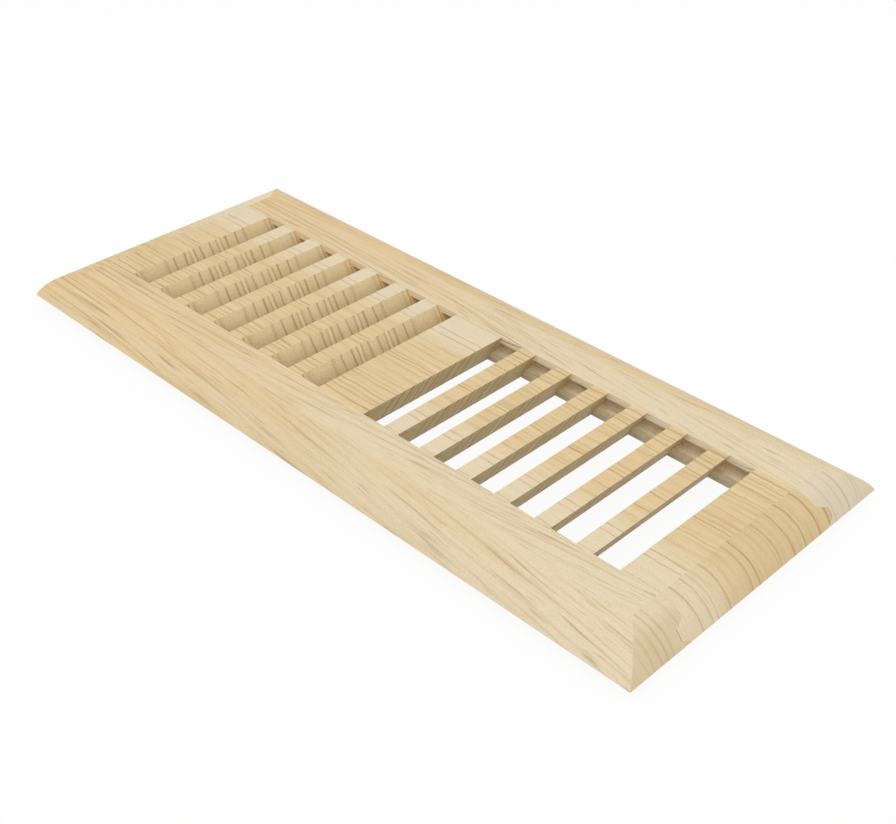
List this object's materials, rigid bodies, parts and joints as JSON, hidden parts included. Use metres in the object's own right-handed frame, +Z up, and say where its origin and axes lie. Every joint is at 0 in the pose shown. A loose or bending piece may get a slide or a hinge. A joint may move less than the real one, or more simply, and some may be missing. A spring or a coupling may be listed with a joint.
{
  "type": "floor register",
  "caption": "Drop-in wooden floor register: a rounded rectangular frame over a shallow body, with opposed banks of fixed slanted louvres either side of a centre bar.",
  "frame": {"origin": "under the middle of the drop-in body, on the plane of its foot", "axes": "+X along the register's length, +Y across it, +Z up through the top face"},
  "size_m": [0.343, 0.143, 0.0155],
  "materials": {
    "side_rail": "bare, sanded",
    "end_rail": "bare, sanded",
    "centre_bar": "bare, sanded",
    "slat": "bare, sanded"
  },
  "bodies": {
    "root": {"front_side_rail": "side_rail", "rear_side_rail": "side_rail", "left_end_rail": "end_rail", "right_end_rail": "end_rail", "centre_bar": "centre_bar", "left_slat_1": "slat", "left_slat_2": "slat", "left_slat_3": "slat", "left_slat_4": "slat", "left_slat_5": "slat", "left_slat_6": "slat", "right_slat_1": "slat", "right_slat_2": "slat", "right_slat_3": "slat", "right_slat_4": "slat", "right_slat_5": "slat", "right_slat_6": "slat"}
  },
  "joints": []
}
